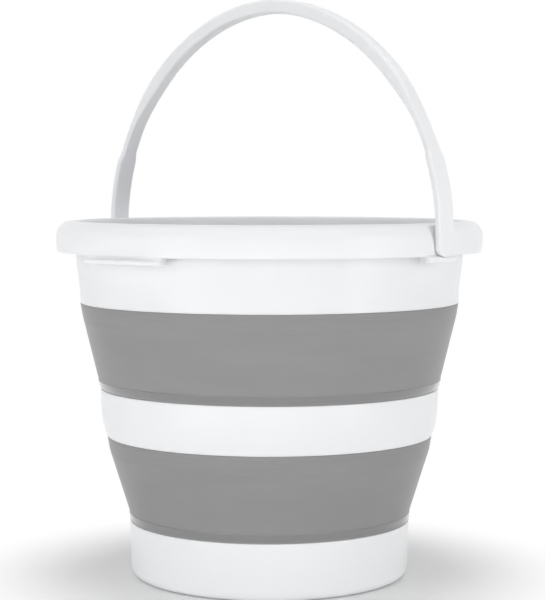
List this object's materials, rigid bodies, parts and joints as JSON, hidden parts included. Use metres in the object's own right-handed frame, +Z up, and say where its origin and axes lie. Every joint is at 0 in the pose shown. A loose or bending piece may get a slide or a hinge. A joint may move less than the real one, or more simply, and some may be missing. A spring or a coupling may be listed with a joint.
{
  "type": "collapsible bucket",
  "caption": "Round bucket with hard rings and soft bands between them that fold down flat, a hooked rim and a swinging bail handle.",
  "frame": {"origin": "centre of the foot ring's lower face, on the surface that the bucket stands on", "axes": "+Z up out of the mouth, +X along the bail's pivot axis, +Y towards the side that the bail folds down to"},
  "size_m": [0.3276, 0.3206, 0.4311],
  "materials": {
    "white_polypropylene": "gloss white",
    "grey_soft_band": "satin grey"
  },
  "bodies": {
    "base": {"base_cup": "white_polypropylene", "lower_fold_band": "grey_soft_band"},
    "ring": {"middle_ring": "white_polypropylene", "upper_fold_band": "grey_soft_band"},
    "rim": {"rim_frame": "white_polypropylene"},
    "bail": {"bail_handle": "white_polypropylene"}
  },
  "joints": [
    {"name": "lower_fold", "type": "slide", "parent": "base", "child": "ring", "axis": [0, 0, 1], "range_m": [-0.098, 0], "deforming": ["lower_fold_band"]},
    {"name": "upper_fold", "type": "slide", "parent": "ring", "child": "rim", "axis": [0, 0, 1], "range_m": [-0.098, 0], "deforming": ["upper_fold_band"]},
    {"name": "bail_pivot", "type": "hinge", "parent": "rim", "child": "bail", "pos_m": [0, 0, 0.252], "axis": [-1, 0, 0], "range_deg": [-10, 90]}
  ]
}
